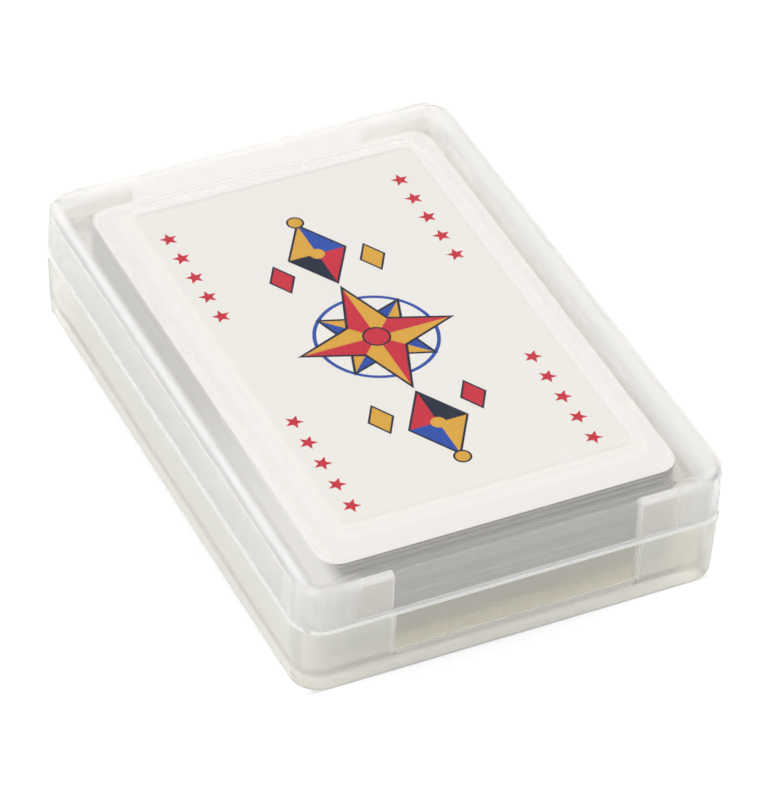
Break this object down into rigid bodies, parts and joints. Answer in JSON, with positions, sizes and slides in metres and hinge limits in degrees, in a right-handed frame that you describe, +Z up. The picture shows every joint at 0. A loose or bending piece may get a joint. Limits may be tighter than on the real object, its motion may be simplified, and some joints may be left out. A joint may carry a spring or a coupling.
{
  "type": "playing card deck in a case",
  "caption": "Deck of playing cards, face up, in a translucent plastic case: a tray with a liner and finger notches, and a lift-off lid with a low raised panel.",
  "frame": {"origin": "centre of the case's footprint, on the table under the foot ring", "axes": "+X across the cards, +Y along the cards towards their upper end, +Z up out of the tray"},
  "size_m": [0.0698, 0.0992, 0.0215],
  "materials": {
    "tray_plastic": "clear, slightly milky moulded polypropylene, smooth and glossy",
    "lid_plastic": "clear, slightly milky moulded polypropylene, smooth and glossy",
    "card_stock": "coated off-white card with a satin face, printed pips and cut edges"
  },
  "bodies": {
    "tray": {"tray": "tray_plastic"},
    "clubs_packet": {"king_of_clubs": "card_stock", "queen_of_clubs": "card_stock", "jack_of_clubs": "card_stock", "ten_of_clubs": "card_stock", "nine_of_clubs": "card_stock", "eight_of_clubs": "card_stock", "seven_of_clubs": "card_stock", "six_of_clubs": "card_stock", "five_of_clubs": "card_stock", "four_of_clubs": "card_stock", "three_of_clubs": "card_stock", "two_of_clubs": "card_stock", "ace_of_clubs": "card_stock"},
    "diamonds_packet": {"king_of_diamonds": "card_stock", "queen_of_diamonds": "card_stock", "jack_of_diamonds": "card_stock", "ten_of_diamonds": "card_stock", "nine_of_diamonds": "card_stock", "eight_of_diamonds": "card_stock", "seven_of_diamonds": "card_stock", "six_of_diamonds": "card_stock", "five_of_diamonds": "card_stock", "four_of_diamonds": "card_stock", "three_of_diamonds": "card_stock", "two_of_diamonds": "card_stock", "ace_of_diamonds": "card_stock"},
    "hearts_packet": {"king_of_hearts": "card_stock", "queen_of_hearts": "card_stock", "jack_of_hearts": "card_stock", "ten_of_hearts": "card_stock", "nine_of_hearts": "card_stock", "eight_of_hearts": "card_stock", "seven_of_hearts": "card_stock", "six_of_hearts": "card_stock", "five_of_hearts": "card_stock", "four_of_hearts": "card_stock", "three_of_hearts": "card_stock", "two_of_hearts": "card_stock", "ace_of_hearts": "card_stock"},
    "spades_packet": {"king_of_spades": "card_stock", "queen_of_spades": "card_stock", "jack_of_spades": "card_stock", "ten_of_spades": "card_stock", "nine_of_spades": "card_stock", "eight_of_spades": "card_stock", "seven_of_spades": "card_stock", "six_of_spades": "card_stock", "five_of_spades": "card_stock", "four_of_spades": "card_stock", "three_of_spades": "card_stock", "two_of_spades": "card_stock", "ace_of_spades": "card_stock"},
    "second_joker": {"second_joker": "card_stock"},
    "top_joker": {"top_joker": "card_stock"},
    "lid": {"lid": "lid_plastic"}
  },
  "joints": [
    {"name": "clubs_lift", "type": "slide", "parent": "tray", "child": "clubs_packet", "axis": [0, 0, 1], "range_m": [0, 0.03]},
    {"name": "diamonds_lift", "type": "slide", "parent": "clubs_packet", "child": "diamonds_packet", "axis": [0, 0, 1], "range_m": [0, 0.025]},
    {"name": "hearts_lift", "type": "slide", "parent": "diamonds_packet", "child": "hearts_packet", "axis": [0, 0, 1], "range_m": [0, 0.025]},
    {"name": "spades_lift", "type": "slide", "parent": "hearts_packet", "child": "spades_packet", "axis": [0, 0, 1], "range_m": [0, 0.025]},
    {"name": "second_joker_lift", "type": "slide", "parent": "spades_packet", "child": "second_joker", "axis": [0, 0, 1], "range_m": [0, 0.02]},
    {"name": "top_joker_lift", "type": "slide", "parent": "second_joker", "child": "top_joker", "axis": [0, 0, 1], "range_m": [0, 0.02]},
    {"name": "lid_lift", "type": "slide", "parent": "top_joker", "child": "lid", "axis": [0, 0, 1], "range_m": [0, 0.04]}
  ]
}
